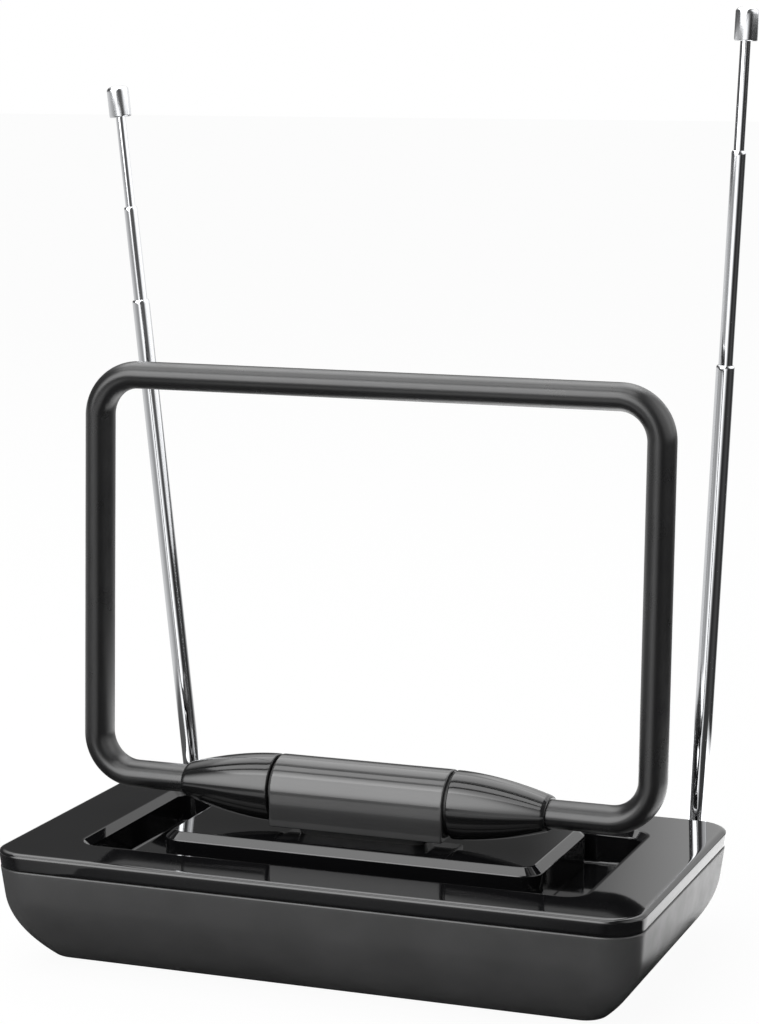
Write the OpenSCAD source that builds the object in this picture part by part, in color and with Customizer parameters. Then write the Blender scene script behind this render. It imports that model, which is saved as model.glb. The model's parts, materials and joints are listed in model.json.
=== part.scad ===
// Indoor television antenna: a weighted base, a tilting loop and two telescopic rods.
// Millimetres. X runs to the right, Y to the back, Z up. The origin is on the table, under
// the middle of the base.

/* [Base] */
// Width of the base, side to side
base_w = 220; // [210:1:250]
// Depth of the base, front to back
base_d = 126.6; // [124:0.1:150]
// Height of the base, from the table to the top of the cover
base_h = 39.1; // [37:0.1:46]
// Plan radius of the base's corners at the top
base_corner = 12.4; // [9:0.1:16]
// How much of a millimetre the sides draw in for each millimetre down
side_draft = 0.12; // [0.05:0.01:0.16]
// Depth below the top at which the sides start to tuck under
tuck_start = 15.6; // [12:0.1:20]
// How far the tuck takes the sides in, at table level
tuck_in = 12.5; // [8:0.1:14]
// Wall of the lower casing
casing_wall = 2.4; // [1.8:0.1:3]
// Depth of the cover's visible edge, from its top to the seam
cover_edge = 5.4; // [4.5:0.1:7]
// Width of the dark seam between cover and casing
seam_gap = 0.3; // [0.2:0.1:0.9]
// Wall of the cover
cover_wall = 2.2; // [1.8:0.1:2.8]
// Height of the soft roll along the cover's top edge
cover_round = 1.4; // [0.8:0.1:2]
// How far in the roll along the cover's top edge reaches
cover_roll = 2.2; // [1.4:0.1:6]
// How far the cover stands back from the casing at the seam
cover_step = 0.25; // [0.1:0.05:0.4]

/* [Well] */
// Width of the well in the cover, at its rim
well_w = 173.6; // [164:0.1:180]
// Depth of the well from front to back, at its rim
well_d = 84; // [78:1:90]
// How far the well's middle lies in front of the base's middle
well_forward = 1; // [0:0.1:2]
// How deep the well is
well_depth = 12; // [9:0.1:14]
// Bevel around the well
well_rim = 2.3; // [1.5:0.1:4]
// Plan radius of the well's corners
well_corner = 5; // [4:0.1:8]

/* [Platform] */
// Width of the platform that carries the loop
platform_w = 131.8; // [120:0.1:138]
// Distance of the platform's front from the middle of the base
platform_front = 23; // [20:0.1:26]
// How far the platform's top stands above the top of the cover
platform_rise = 1.1; // [0:0.1:1.3]
// Bevel around the platform's top
platform_bevel = 2.7; // [1.5:0.1:3.5]
// Plan radius of the platform's corners
platform_corner = 7; // [3.5:0.1:8]
// Wall of the platform
platform_wall = 2.4; // [1.8:0.1:3]

/* [Spindle] */
// Height of the loop's tilt axis above the table
spindle_z = 53.7; // [53.2:0.1:60]
// How far the tilt axis lies in front of the base's middle
spindle_forward = 2; // [0:0.1:4]
// Length of the fixed housing on the tilt axis
housing_len = 60.6; // [50:0.1:70]
// Radius of the housing's rounded top
housing_r = 11.5; // [10.5:0.1:12]
// Depth of the housing below the tilt axis
housing_below = 10.7; // [10.3:0.1:12.4]
// Width of the joint between the housing and each cone
joint_gap = 1.1; // [0.9:0.1:1.6]
// Diameter of the steel spindle
spindle_od = 8; // [7:0.1:9]
// Bore of the hollow spindle
spindle_id = 5; // [3:0.1:6]
// Length of the spindle
spindle_len = 96; // [88:1:100]
// Running clearance between the spindle and its bushes, on the radius
spindle_fit = 0.05; // [0.02:0.01:0.08]
// Outside diameter of the bushes
bush_od = 12; // [10.5:0.1:13]
// Diameter of the flange on each bush
flange_od = 20; // [16:0.1:21]
// Length of each bush inside the housing
bush_len = 14; // [8:0.1:18]

/* [Cones] */
// Length of each cone, along the tilt axis
cone_len = 32.6; // [28:0.1:38]
// Radius of a cone beside the housing
cone_r = 11.4; // [10.8:0.1:12]
// Height of a cone's small end
cone_tip_h = 11.4; // [11.2:0.1:13]
// Depth of a cone's small end, front to back
cone_tip_d = 15.8; // [15.6:0.1:17]
// How full the cone's curve is: 1 is straight
cone_fullness = 1.8; // [1.2:0.1:2.4]
// Depth of the socket that takes the loop's end
loop_socket = 14; // [10:0.1:15]

/* [Loop] */
// Width of the loop, between its tube's middles
loop_w = 195.5; // [185:0.1:205]
// Height of the loop above the tilt axis, to its tube's middle
loop_h = 136.6; // [120:0.1:150]
// Bend radius of the loop's tube, at its middle
loop_bend = 14; // [11:0.1:20]
// Thickness of the tube, seen from the front
tube_w = 9.2; // [8:0.1:10]
// Thickness of the tube, front to back
tube_d = 13.6; // [11:0.1:14]
// Wall of the loop's tube
tube_wall = 1.2; // [0.8:0.1:2]
// How far back the loop leans as photographed, in degrees
loop_lean_angle = 1.5; // [0:0.1:4]

/* [Rods] */
// Distance of each rod's pivot from the middle of the base
rod_x = 94.5; // [88:0.1:95]
// How far the rods stand behind the cover's rear edge
rod_behind = 8; // [7.6:0.1:10]
// Height of the rods' pivots above the table
rod_z = 27; // [25:0.1:27.4]
// Outward lean of the left rod, in degrees
left_lean_angle = 6.5; // [0:0.1:10]
// Outward lean of the right rod, in degrees
right_lean_angle = 2.2; // [0:0.1:10]
// Diameter of the outer tube
outer_od = 6.2; // [6:0.1:6.8]
// Diameter of the middle tube
middle_od = 4.8; // [4.6:0.1:5]
// Diameter of the inner rod
inner_od = 3.5; // [3.2:0.1:3.6]
// Wall of the outer and middle tubes
rod_wall = 0.4; // [0.3:0.05:0.45]
// Sliding clearance between a tube and what slides in it, on the radius
rod_fit = 0.1; // [0.06:0.01:0.14]
// End of the left outer tube, from its pivot
left_outer_end = 183.8; // [160:0.1:200]
// End of the right outer tube, from its pivot
right_outer_end = 167.6; // [160:0.1:200]
// How far the left middle tube is drawn out
left_middle_out = 33.6; // [20:0.1:60]
// How far the right middle tube is drawn out
right_middle_out = 71.8; // [20:0.1:100]
// How far the left inner rod is drawn out, to its cap
left_inner_out = 32.2; // [20:0.1:60]
// How far the right inner rod is drawn out, to its cap
right_inner_out = 36; // [20:0.1:60]
// Length of each middle tube
middle_len = 140; // [130:1:150]
// Length of each inner rod, to the cap
inner_len = 130; // [120:1:140]
// Diameter of the tip caps
cap_od = 7.8; // [7:0.1:9]
// Length of the tip caps
cap_len = 11; // [9:0.1:14]

/* [Rod pivots] */
// Width of a pivot's fork
fork_w = 11; // [10:0.1:12]
// Thickness of each cheek of the fork
fork_wall = 2.2; // [1.8:0.1:2.4]
// Thickness of the tongue that turns in the fork
tongue = 3.4; // [3:0.1:3.6]
// Clearance on each side of the tongue
tongue_gap = 0.2; // [0.15:0.05:0.3]
// Diameter of the pivot screw
pivot_od = 4; // [3.6:0.1:4.4]
// Running clearance around the pivot screw, on the radius
pivot_fit = 0.05; // [0.02:0.01:0.08]

/* [Fittings] */
// Diameter of the rubber feet
foot_od = 12; // [9:0.1:14]
// How far the feet stand out below the casing
foot_proud = 1.2; // [0.8:0.1:1.8]
// Diameter of the casing screws
screw_od = 3; // [2.5:0.1:3.5]
// Bore of the cable gland
gland_bore = 5.4; // [4.5:0.1:6.5]
// Thickness of the steel ballast plate
ballast_t = 4; // [2:0.1:5]
// Thickness of the circuit board
board_t = 1.6; // [1:0.1:2]

/* [Hidden] */
$fn = 48;

// Clearance between pieces that are screwed or pushed together
fit = 0.1;
// How far a cut runs past the face it opens
past = 1;

seam_z = base_h - cover_edge;
casing_top = seam_z - seam_gap;
floor_top = foot_proud + casing_wall;
well_y = -well_forward;
well_floor = base_h - well_depth;
well_under = well_floor - cover_wall;
platform_top = base_h + platform_rise;
platform_back = well_d / 2 + well_y - well_rim - 0.8;
platform_d = platform_front + platform_back;
platform_y = (platform_back - platform_front) / 2;
spindle_y = -spindle_forward;
housing_bottom = spindle_z - housing_below;
cone_start = housing_len / 2 + joint_gap;
cone_end = cone_start + cone_len;
flange_t = joint_gap - 0.25;
spindle_socket = spindle_len / 2 - cone_start;
socket_start = cone_end - loop_socket;
rod_y = base_d / 2 + rod_behind;
fork_gap = tongue + 2 * tongue_gap;
fork_front = rod_y - fork_gap / 2 - fork_wall;
fork_back = rod_y + fork_gap / 2 + fork_wall;
fork_bottom = rod_z - 8.5;
fork_floor = 2;
tongue_r = 4.4;
collar_start = fork_w / 2 + 1.2;
collar_len = 1.8;
tube_start = collar_start + collar_len;
spigot_len = 7.5;
outer_r = outer_od / 2;
outer_bore = outer_r - rod_wall;
middle_r = middle_od / 2;
middle_bore = middle_r - rod_wall;
inner_r = inner_od / 2;
lip = 1.2;
guide_len = 4;
pad_bottom = fork_bottom;
pad_top = casing_top - 0.6;
pad_inside = base_d / 2 - 9;
screw_head = screw_od * 1.9;
casing_screw_x = base_w / 2 - 50;
casing_screw_y = base_d / 2 - 35.3;
boss_r = screw_od / 2 + 2.4;
boss_top = 14;
pilot_r = screw_od / 2 + 0.02;
platform_screw_side = 20;
platform_screw_x = platform_w / 2 - platform_screw_side;
platform_screw_y = platform_d / 2 - 8;
housing_screw_x = housing_len / 2 - 12;
neck_w = housing_len - 14;
neck_d = 15;
foot_x = base_w / 2 - 32;
foot_y = base_d / 2 - 27.3;
foot_sunk = 1;
ballast_w = base_w - 124;
ballast_d = base_d - 82.6;
ballast_screw_x = ballast_w / 2 - 8;
board_w = 70;
board_d = 22;
board_y = base_d / 2 - 25.3;
board_z = 9.6;
board_screw_x = board_w / 2 - 5;
board_screw_y = board_d / 2 - 4;
core_w = 14;
core_d = 7;
core_h = 8;
gland_z = 17.5;
gland_hole = gland_bore / 2 + 1.8;
gland_flange = gland_bore / 2 + 4;
gland_grip = 7;
gland_nose = 7;
gland_barb = 2.4;
gland_boss_r = gland_flange + 0.8;
gland_room = 10;
gland_face = base_d / 2 - side_inset(gland_z + gland_boss_r) + 0.3;
gland_inner = gland_face - gland_grip;

// How far the sides have drawn in at a height above the table
function side_inset(z) = let (d = base_h - z, u = max(0, (d - tuck_start) / (base_h - tuck_start)))
    side_draft * d + tuck_in * u * u;

// One ring of a rounded rectangle, anticlockwise from above
function ring(w, d, r, z, y = 0, n = 7) = [for (c = [0:3], k = [0:n])
    let (a = 90 * (c + k / n), sx = (c == 0 || c == 3) ? 1 : -1, sy = c < 2 ? 1 : -1)
    [sx * (w / 2 - r) + r * cos(a), y + sy * (d / 2 - r) + r * sin(a), z]];

// One ring of the base's outline at a height, set in by t
function base_ring(z, t) = let (i = side_inset(z))
    ring(base_w - 2 * (i + t), base_d - 2 * (i + t), max(base_corner - 0.35 * i - t, 1.5), z);

// Solid skinned over rings with equal numbers of points, from the lowest up
module loft(rings) {
    m = len(rings[0]);
    last = (len(rings) - 1) * m;
    polyhedron(points = [for (g = rings) each g],
        faces = concat([[for (i = [0:m - 1]) i]], [[for (i = [m - 1:-1:0]) last + i]],
            [for (k = [0:len(rings) - 2], i = [0:m - 1])
                let (j = (i + 1) % m) each [[(k + 1) * m + i, (k + 1) * m + j, k * m + j],
                    [(k + 1) * m + i, k * m + j, k * m + i]]]));
}

// The base's outline as a solid between two heights, set in by t
module base_block(z0, z1, t, steps) {
    loft([for (k = [0:steps]) base_ring(z0 + (z1 - z0) * k / steps, t)]);
}

// A rounded rectangle in plan, drawn about its middle
module plan(w, d, r) {
    square([w - 2 * r, d], center = true);
    square([w, d - 2 * r], center = true);
    for (x = [-1, 1], y = [-1, 1])
        translate([x * (w / 2 - r), y * (d / 2 - r)]) circle(r);
}

// Puts a copy in each quarter of a rectangle
module four(x, y, cy = 0) {
    for (sx = [-1, 1], sy = [-1, 1]) translate([sx * x, cy + sy * y, 0]) children();
}

// A pan-head screw that points up, with its head's top at z = 0
module screw(len) {
    head = screw_od * 0.6;
    rotate_extrude() polygon(concat([[0, 0], [screw_head / 2 - 0.4, 0], [screw_head / 2, 0.4],
        [screw_head / 2, head], [screw_od / 2, head], [screw_od / 2, len - 1],
        [screw_od / 2 - 0.8, len], [0, len]]));
}

// Places what follows in the loop's own frame, on the tilt axis
module on_spindle() {
    translate([0, spindle_y, spindle_z]) rotate([-loop_lean_angle, 0, 0]) children();
}

// Places what follows along a rod: the pivot is at the origin and +Z runs up the rod
module on_rod(side) {
    lean = side < 0 ? left_lean_angle : right_lean_angle;
    translate([side * rod_x, rod_y, rod_z]) rotate([0, side * lean, 0]) children();
}

function outer_end(side) = side < 0 ? left_outer_end : right_outer_end;
function middle_end(side) = outer_end(side) + (side < 0 ? left_middle_out : right_middle_out);
function cap_start(side) = middle_end(side) + (side < 0 ? left_inner_out : right_inner_out);

// Lower half of the base: a thin tub with bosses, posts and the rods' pads
module lower_casing() {
    color([0.2, 0.2, 0.21]) difference() {
        union() {
            difference() {
                base_block(foot_proud, casing_top, 0, 12);
                difference() {
                    base_block(floor_top, casing_top + past, casing_wall, 9);
                    four(casing_screw_x, casing_screw_y) cylinder(h = boss_top, r = boss_r);
                    four(board_screw_x, board_screw_y, board_y)
                        cylinder(h = board_z, r = boss_r - 1);
                    feet() cylinder(h = floor_top + foot_sunk, r = foot_od / 2 + 1.5);
                    for (x = [-1, 1]) translate([x * ballast_screw_x, 0, 0])
                        cylinder(h = floor_top + 1, r = boss_r);
                    for (x = [-1, 1]) rod_pad(x, 0);
                    gland_boss(0);
                }
            }
            for (x = [-1, 1]) rod_pad(x, 1);
            gland_boss(1);
        }
        four(casing_screw_x, casing_screw_y) {
            cylinder(h = boss_top + past, r = screw_od / 2 + fit);
            cylinder(h = floor_top + 1.5, r = screw_head / 2 + 0.3);
        }
        four(board_screw_x, board_screw_y, board_y)
            translate([0, 0, floor_top]) cylinder(h = board_z, r = pilot_r);
        feet() cylinder(h = foot_proud + foot_sunk, r = foot_od / 2 + fit);
        for (x = [-1, 1]) translate([x * ballast_screw_x, 0, floor_top - 1])
            cylinder(h = 4, r = pilot_r);
        for (x = [-1, 1]) translate([x * rod_x, 0, rod_z]) rotate([-90, 0, 0])
            cylinder(h = base_d, r = pivot_od / 2 + fit);
        translate([0, gland_inner - past, gland_z]) rotate([-90, 0, 0])
            cylinder(h = gland_grip + 2 * past, r = gland_hole + fit);
        translate([0, gland_inner - gland_room, gland_z]) rotate([-90, 0, 0])
            cylinder(h = gland_room, r = gland_flange);
    }
}

// Pad on the rear wall that a rod's fork seats on, or its root inside the wall
module rod_pad(side, outside) {
    y0 = outside ? base_d / 2 - casing_wall - side_inset(rod_z) - 1 : pad_inside;
    y1 = outside ? fork_front : base_d / 2 - casing_wall;
    translate([side * rod_x - fork_w / 2, y0, pad_bottom])
        cube([fork_w, y1 - y0, pad_top - pad_bottom]);
}

// Round boss on the rear wall around the cable's outlet, or its root inside the wall
module gland_boss(outside) {
    y0 = outside ? gland_inner + 1 : gland_inner;
    y1 = outside ? gland_face : gland_face - 2;
    translate([0, y0, gland_z]) rotate([-90, 0, 0])
        cylinder(h = y1 - y0, r = gland_boss_r);
}

// Gloss cover: a shallow lid with a well for the platform and a locating lip
module top_cover() {
    lip_out = casing_wall + fit * 1.5;
    lip_bottom = casing_top - 3;
    color([0.03, 0.03, 0.035]) difference() {
        union() {
            difference() {
                loft(concat([for (k = [0:2])
                        base_ring(seam_z + (cover_edge - cover_round) * k / 2, cover_step)],
                    [for (k = [1:6]) let (a = 15 * k) base_ring(base_h - cover_round * (1 - sin(a)),
                        cover_step + cover_roll * (1 - cos(a)))]));
                base_block(seam_z - past, base_h - cover_wall, cover_wall, 3);
            }
            difference() {
                union() {
                    base_block(lip_bottom, seam_z + 1.5, lip_out, 3);
                    base_block(seam_z, seam_z + 1.5, cover_wall - 0.4, 1);
                }
                base_block(lip_bottom - past, seam_z + 1.5 + past, lip_out + 1.4, 3);
                for (x = [-1, 1])
                    translate([x * rod_x - fork_w / 2 - 0.5, pad_inside - past, lip_bottom - past])
                        cube([fork_w + 1, base_d / 2 - pad_inside + 2 * past,
                            pad_top + 0.5 - lip_bottom + past]);
            }
            translate([0, well_y, well_under]) linear_extrude(well_depth)
                plan(well_w - 2 * well_rim + 2 * cover_wall, well_d - 2 * well_rim + 2 * cover_wall,
                    well_corner + cover_wall);
            four(casing_screw_x, casing_screw_y)
                translate([0, 0, boss_top]) cylinder(h = well_floor - boss_top - 1, r = boss_r);
        }
        well_cut();
        four(casing_screw_x, casing_screw_y)
            translate([0, 0, boss_top - past]) cylinder(h = well_under - boss_top + past, r = pilot_r);
        four(platform_screw_x, platform_screw_y, platform_y)
            translate([0, 0, well_under - past]) cylinder(h = 6, r = screw_od / 2 + fit);
        translate([0, spindle_y, well_under - past]) cylinder(h = 6, r = 5);
    }
}

// The well itself, with its bevel
module well_cut() {
    function in(t, z) = ring(well_w - 2 * t, well_d - 2 * t, well_corner + well_rim - t, z, well_y);
    loft([in(well_rim, well_floor), in(well_rim, base_h - well_rim), in(0, base_h),
        in(0, base_h + past)]);
}

// Bevelled platform in the well: a hollow moulding with four screw bosses
module loop_platform() {
    h = platform_top - well_floor;
    function in(t, r, z) = ring(platform_w - 2 * t, platform_d - 2 * t, r, z, platform_y, 5);
    color([0.03, 0.03, 0.035]) difference() {
        loft([in(0, platform_corner, well_floor), in(0, platform_corner, platform_top - platform_bevel),
            in(platform_bevel, platform_corner * 0.7, platform_top)]);
        difference() {
            translate([0, platform_y, well_floor - past]) linear_extrude(h - platform_bevel + past)
                plan(platform_w - 2 * platform_wall, platform_d - 2 * platform_wall,
                    platform_corner - platform_wall + 0.6);
            four(platform_screw_x, platform_screw_y, platform_y)
                translate([0, 0, well_floor]) cylinder(h = h, r = boss_r);
        }
        four(platform_screw_x, platform_screw_y, platform_y)
            translate([0, 0, well_floor - past]) cylinder(h = 8, r = pilot_r);
        for (x = [-1, 1]) translate([x * housing_screw_x, spindle_y, well_floor])
            cylinder(h = h + past, r = screw_od / 2 + fit);
        translate([0, spindle_y, well_floor]) cylinder(h = h + past, r = 4);
    }
}

// Fixed housing on the tilt axis: rounded on top, flat below, with a short neck
module spindle_housing() {
    color([0.2, 0.2, 0.21]) difference() {
        union() {
            translate([-housing_len / 2, spindle_y, spindle_z]) rotate([90, 0, 90])
                linear_extrude(housing_len) {
                    circle(housing_r);
                    translate([-housing_r, 0.6 - housing_below]) square([2 * housing_r, housing_below - 0.6]);
                    translate([0.6 - housing_r, -housing_below]) square([2 * housing_r - 1.2, 1]);
                }
            translate([0, spindle_y, platform_top]) linear_extrude(housing_bottom - platform_top + 1)
                plan(neck_w, neck_d, 4);
        }
        for (x = [-1, 1]) translate([x * (housing_len / 2 - bush_len - 0.5), spindle_y, spindle_z])
            rotate([0, x * 90, 0]) cylinder(h = bush_len + past, r = bush_od / 2);
        translate([-housing_len / 2, spindle_y, spindle_z]) rotate([0, 90, 0])
            cylinder(h = housing_len, r = spindle_od / 2 + 0.5);
        for (x = [-1, 1]) translate([x * housing_screw_x, spindle_y, platform_top - past])
            cylinder(h = 7, r = pilot_r);
        translate([0, spindle_y, platform_top - past]) cylinder(h = spindle_z - platform_top, r = 3);
    }
}

// Flanged bush pushed into an end of the housing; its flange is the dark ring in the joint
module spindle_bush(side) {
    color([0.06, 0.06, 0.06]) translate([side * housing_len / 2, spindle_y, spindle_z])
        rotate([0, side * 90, 0]) rotate_extrude() translate([spindle_od / 2 + spindle_fit, 0])
            polygon([[0, -bush_len], [bush_od / 2 - spindle_od / 2 - spindle_fit - 0.05, -bush_len],
                [bush_od / 2 - spindle_od / 2 - spindle_fit - 0.05, 0],
                [flange_od / 2 - spindle_od / 2, 0], [flange_od / 2 - spindle_od / 2, flange_t],
                [0, flange_t]]);
}

// Hollow steel spindle with turned ends, which the leads pass through
module spindle() {
    color([0.75, 0.75, 0.77]) on_spindle() translate([-spindle_len / 2, 0, 0]) rotate([0, 90, 0])
        rotate_extrude() polygon([[spindle_id / 2, 0], [spindle_od / 2 - 0.5, 0],
            [spindle_od / 2, 0.5], [spindle_od / 2, spindle_len - 0.5],
            [spindle_od / 2 - 0.5, spindle_len], [spindle_id / 2, spindle_len]]);
}

// Cone that joins the spindle to an end of the loop: round at one end, oval at the other
module loop_cone(side) {
    steps = 12;
    function r(t, tip) = tip + (cone_r - tip) * (1 - pow(t, cone_fullness));
    function section(t) = [for (k = [0:35]) let (a = 10 * k)
        [r(t, cone_tip_h / 2) * cos(a), r(t, cone_tip_d / 2) * sin(a), cone_len * t]];
    color([0.2, 0.2, 0.21]) on_spindle() difference() {
        translate([side * cone_start, 0, 0]) rotate([0, side * 90, 0])
            loft([for (k = [0:steps]) section(k / steps)]);
        translate([side * (cone_start - past), 0, 0]) rotate([0, side * 90, 0])
            cylinder(h = spindle_socket + past, r = spindle_od / 2 + 0.02);
        translate([side * cone_start, 0, 0]) rotate([0, side * 90, 0])
            cylinder(h = cone_len, r = spindle_id / 2);
        translate([side * socket_start, 0, 0]) rotate([0, side * 90, 0])
            linear_extrude(loop_socket + past) oval(-fit / 2);
        translate([side * cone_screw_x(), tube_d, 0]) rotate([90, 0, 0])
            cylinder(h = tube_d, r = cone_screw_r + 0.05);
        translate([side * cone_screw_x(), cone_r + past, 0]) rotate([90, 0, 0])
            cylinder(h = cone_r + past - cone_screw_seat, r = cone_screw_r * 2);
    }
}

function cone_screw_x() = socket_start + 6;
cone_screw_r = 1.25;
cone_screw_seat = tube_d / 2 + 1;

// Oval section of the loop's tube, t inside its surface
module oval(t) {
    polygon([for (k = [0:35]) let (a = 10 * k)
        [(tube_w / 2 - t) * cos(a), (tube_d / 2 - t) * sin(a)]]);
}

// The loop's path with an oval section, t inside the tube's surface
module loop_path(t, start) {
    x = loop_w / 2;
    b = loop_bend;
    for (side = [-1, 1]) {
        translate([side * start, 0, 0]) rotate([0, side * 90, 0]) linear_extrude(x - b - start) oval(t);
        translate([side * x, 0, b]) linear_extrude(loop_h - 2 * b) oval(t);
    }
    translate([b - x, 0, loop_h]) rotate([0, 90, 0]) linear_extrude(2 * (x - b)) oval(t);
    for (q = [[x - b, loop_h - b, 0], [b - x, loop_h - b, 90], [b - x, b, 180], [x - b, b, 270]])
        translate([q[0], 0, q[1]]) rotate([0, -q[2], 0]) rotate([90, 0, 0])
            rotate_extrude(angle = 90) translate([b, 0]) oval(t);
}

// Black oval tube, bent to a rectangle, whose ends stand in the cones
module loop_tube() {
    color([0.07, 0.07, 0.075]) on_spindle() difference() {
        loop_path(0, socket_start + fit);
        loop_path(tube_wall, socket_start - past);
        for (side = [-1, 1]) translate([side * cone_screw_x(), tube_d, 0]) rotate([90, 0, 0])
            cylinder(h = tube_d, r = cone_screw_r + 0.05);
    }
}

// Screws at the back of the cones, which hold the loop's ends
module cone_screws() {
    shank = cone_screw_seat - tube_d / 2 + tube_wall + 2;
    color([0.75, 0.75, 0.77]) on_spindle() for (side = [-1, 1])
        translate([side * cone_screw_x(), cone_screw_seat, 0]) rotate([90, 0, 0]) rotate_extrude()
            polygon([[0, -1], [cone_screw_r * 1.8, -1], [cone_screw_r * 1.8, 0], [cone_screw_r, 0],
                [cone_screw_r, shank], [0, shank + 0.6]]);
}

// Screws from below that hold the casing to the cover
module casing_screws() {
    color([0.75, 0.75, 0.77]) four(casing_screw_x, casing_screw_y)
        translate([0, 0, floor_top + 1.5 - screw_od * 0.6]) screw(boss_top + 6 - floor_top);
}

// Screws from below that hold the platform in the well
module platform_screws() {
    color([0.75, 0.75, 0.77]) four(platform_screw_x, platform_screw_y, platform_y)
        translate([0, 0, well_under - screw_od * 0.6]) screw(9);
}

// Screws from inside the platform into the housing's neck
module housing_screws() {
    roof = platform_top - platform_bevel;
    color([0.75, 0.75, 0.77]) for (x = [-1, 1])
        translate([x * housing_screw_x, spindle_y, roof - screw_od * 0.6]) screw(9);
}

// Puts a copy at each foot: one near each corner, and one under the ballast
module feet() {
    four(foot_x, foot_y) children();
    children();
}

// Rubber feet, sunk in the casing's floor
module rubber_feet() {
    color([0.08, 0.08, 0.08]) feet() rotate_extrude()
        polygon([[0, 0], [foot_od / 2 - 0.6, 0], [foot_od / 2, 0.6],
            [foot_od / 2, foot_proud + foot_sunk], [0, foot_proud + foot_sunk]]);
}

// Matching board on its four posts
module circuit_board() {
    color([0.1, 0.35, 0.15]) difference() {
        translate([0, board_y, board_z]) linear_extrude(board_t) plan(board_w, board_d, 1.5);
        four(board_screw_x, board_screw_y, board_y)
            translate([0, 0, board_z - past]) cylinder(h = board_t + 2 * past, r = screw_od / 2 + fit);
    }
}

// Two-hole ferrite core of the matching transformer, on the board
module balun_core() {
    color([0.22, 0.22, 0.23]) translate([0, board_y, board_z + board_t]) difference() {
        translate([-core_w / 2, -core_d / 2, 0]) cube([core_w, core_d, core_h]);
        for (x = [-1, 1]) translate([x * core_w / 4, core_d, core_h / 2]) rotate([90, 0, 0])
            cylinder(h = 2 * core_d, r = 1.9);
    }
}

// Screws that hold the board on its posts
module board_screws() {
    color([0.75, 0.75, 0.77]) four(board_screw_x, board_screw_y, board_y)
        translate([0, 0, board_z + board_t + screw_od * 0.6]) rotate([180, 0, 0]) screw(6.5);
}

// Steel plate that keeps the base down
module ballast_plate() {
    color([0.5, 0.5, 0.52]) difference() {
        translate([0, 0, floor_top + 1]) linear_extrude(ballast_t) plan(ballast_w, ballast_d, 3);
        for (x = [-1, 1]) translate([x * ballast_screw_x, 0, floor_top])
            cylinder(h = ballast_t + 2, r = screw_od / 2 + fit);
    }
}

// Screws that hold the ballast plate
module ballast_screws() {
    color([0.75, 0.75, 0.77]) for (x = [-1, 1])
        translate([x * ballast_screw_x, 0, floor_top + 1 + ballast_t + screw_od * 0.6])
            rotate([180, 0, 0]) screw(ballast_t + 3.6);
}

// Rubber gland in the rear wall for the aerial lead
module cable_gland() {
    b = gland_bore / 2;
    color([0.08, 0.08, 0.08]) translate([0, gland_face, gland_z]) rotate([-90, 0, 0]) rotate_extrude()
        polygon([[b, -gland_grip - gland_barb], [gland_hole, -gland_grip - gland_barb],
            [gland_flange - 1, -gland_grip - fit], [gland_hole, -gland_grip - fit],
            [gland_hole, 0], [gland_flange, 0], [gland_flange, 1.6], [gland_hole, 2.4],
            [gland_hole - 0.6, gland_nose], [b, gland_nose]]);
}

// Fork that carries a rod's pivot: two cheeks joined below the tongue
module rod_fork(side) {
    color([0.2, 0.2, 0.21]) difference() {
        union() {
            for (y = [fork_front, fork_back - fork_wall])
                translate([side * rod_x, y + fork_wall, rod_z]) rotate([90, 0, 0])
                    linear_extrude(fork_wall) {
                        circle(fork_w / 2);
                        translate([-fork_w / 2, fork_bottom - rod_z]) square([fork_w, rod_z - fork_bottom]);
                    }
            translate([side * rod_x - fork_w / 2, fork_front, fork_bottom])
                cube([fork_w, fork_back - fork_front, fork_floor]);
        }
        translate([side * rod_x, fork_front - past, rod_z]) rotate([-90, 0, 0])
            cylinder(h = fork_back - fork_front + 2 * past, r = pivot_od / 2 + pivot_fit);
    }
}

// Screw that a rod turns on, put in from behind and held by a nut inside the casing
module pivot_screw(side) {
    r = pivot_od / 2;
    len = fork_back - pad_inside + 5;
    color([0.8, 0.8, 0.82]) translate([side * rod_x, fork_back, rod_z]) rotate([90, 0, 0])
        difference() {
            rotate_extrude() polygon([[0, -2.2], [r + 0.8, -2.2], [r + 1.8, -1.2], [r + 1.8, 0],
                [r, 0], [r, len - 0.6], [r - 0.6, len], [0, len]]);
            translate([-r - 2, -0.5, -2.2 - past]) cube([2 * r + 4, 1, past + 0.9]);
        }
}

// Square nut on the pivot screw, inside the casing
module pivot_nut(side) {
    color([0.75, 0.75, 0.77]) translate([side * rod_x, pad_inside, rod_z]) rotate([90, 0, 0])
        difference() {
            translate([-3.5, -3.5, 0]) cube([7, 7, 3]);
            translate([0, 0, -past]) cylinder(h = 3 + 2 * past, r = pivot_od / 2 + 0.02);
        }
}

// Foot of a rod: a flat tongue on the pivot, a collar and a spigot in the outer tube
module rod_knuckle(side) {
    color([0.8, 0.8, 0.82]) on_rod(side) difference() {
        union() {
            translate([0, tongue / 2, 0]) rotate([90, 0, 0]) linear_extrude(tongue) {
                circle(tongue_r);
                translate([-outer_r, 0]) square([2 * outer_r, collar_start + 0.5]);
            }
            translate([0, 0, collar_start]) rotate_extrude() polygon([[0, 0], [outer_r + 0.1, 0],
                [outer_r + 0.5, 0.4], [outer_r + 0.5, collar_len], [outer_bore - 0.02, collar_len],
                [outer_bore - 0.02, collar_len + spigot_len], [0, collar_len + spigot_len]]);
        }
        translate([0, tongue, 0]) rotate([90, 0, 0]) cylinder(h = 2 * tongue, r = pivot_od / 2 + pivot_fit);
    }
}

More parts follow.
